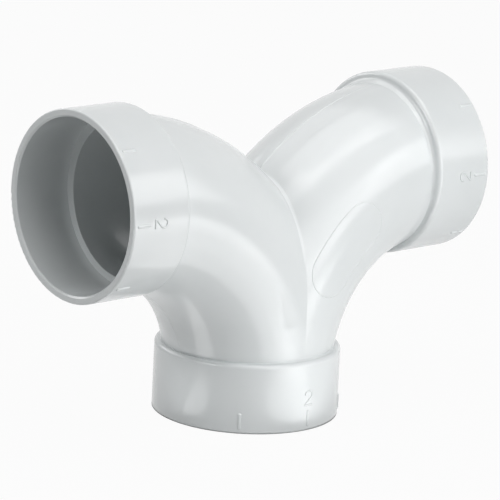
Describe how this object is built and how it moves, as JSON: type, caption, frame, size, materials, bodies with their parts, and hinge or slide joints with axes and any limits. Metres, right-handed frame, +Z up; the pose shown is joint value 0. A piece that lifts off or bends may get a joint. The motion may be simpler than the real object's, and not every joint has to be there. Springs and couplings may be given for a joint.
{
  "type": "double sweep elbow",
  "caption": "Glossy white PVC double sweep elbow for central vacuum tubing: a bottom socket opens into back-to-back quarter bends, each ending in a tube socket.",
  "frame": {"origin": "centre of the bottom socket's mouth, on the surface that the fitting stands on", "axes": "+X along the side sockets' shared axis, towards the right socket; +Y from the pictured front to the back; +Z up, from the bottom socket into the fitting"},
  "size_m": [0.1396, 0.0561, 0.0977],
  "materials": {
    "pvc": "glossy white injection-moulded PVC"
  },
  "bodies": {
    "root": {"double_sweep_elbow": "pvc"}
  },
  "joints": []
}
